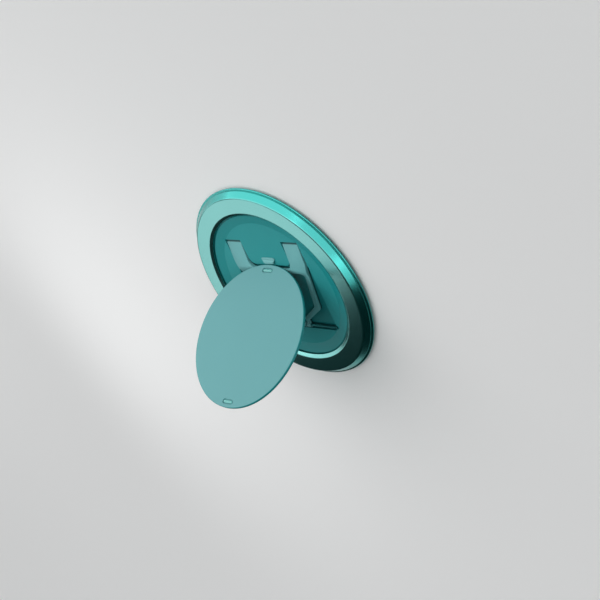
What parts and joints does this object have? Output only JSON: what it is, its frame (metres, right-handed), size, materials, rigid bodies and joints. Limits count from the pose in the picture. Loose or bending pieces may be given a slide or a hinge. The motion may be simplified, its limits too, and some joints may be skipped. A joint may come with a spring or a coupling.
{
  "type": "phone grip",
  "caption": "Round magnetic phone grip and stand: a ring housing with a turning dish, in which a hinged strut and guide frame let a thin finger disk fold out and lie flat.",
  "frame": {"origin": "on the ring's axis, at the back contact face", "axes": "+Z out of the ring's face, +Y from the strut pin towards the guide frame's leg tips, +X right"},
  "size_m": [0.0592, 0.0592, 0.034],
  "materials": {
    "anodised_ring": "satin anodised with a polished chamfer",
    "anodised_disk": "satin anodised",
    "dish_plastic": "fine matt",
    "frame_coat": "satin coat",
    "pin_steel": "ground",
    "plate_steel": "rolled sheet",
    "magnet_plating": "nickel plated",
    "pad_rubber": "matt soft pad",
    "glide_plastic": "low friction",
    "catch_rubber": "satin elastomer",
    "pip_plastic": "gloss"
  },
  "bodies": {
    "base": {"ring_housing": "anodised_ring", "retaining_plate": "plate_steel", "back_pad": "pad_rubber", "magnet_array": "magnet_plating", "shield_ring": "plate_steel", "lower_glide_ring": "glide_plastic"},
    "turntable": {"dish": "dish_plastic", "guide_frame": "frame_coat", "strut_pin": "pin_steel", "rim_catch": "catch_rubber", "upper_glide_ring": "glide_plastic", "pivot_washers": "glide_plastic"},
    "strut": {"strut": "frame_coat", "disk_pin": "pin_steel"},
    "disk": {"finger_disk": "anodised_disk", "hinge_bracket": "frame_coat", "bracket_rivets": "pin_steel", "upper_pip": "pip_plastic", "lower_pip": "pip_plastic"}
  },
  "joints": [
    {"name": "dish_swivel", "type": "hinge", "parent": "base", "child": "turntable", "pos_m": [0, 0, 0], "axis": [0, 0, 1], "continuous": true},
    {"name": "strut_swing", "type": "hinge", "parent": "turntable", "child": "strut", "pos_m": [0, -0.0128, 0.0016], "axis": [1, 0, 0], "range_deg": [-55.4, 0], "deforming": ["rim_catch"]},
    {"name": "disk_tilt", "type": "hinge", "parent": "strut", "child": "disk", "pos_m": [0, -0.00377, 0.01469], "axis": [1, 0, 0], "range_deg": [0, 110.8]}
  ],
  "couplings": [
    {"joint": "disk_tilt", "follows": "strut_swing", "ratio": -2}
  ]
}
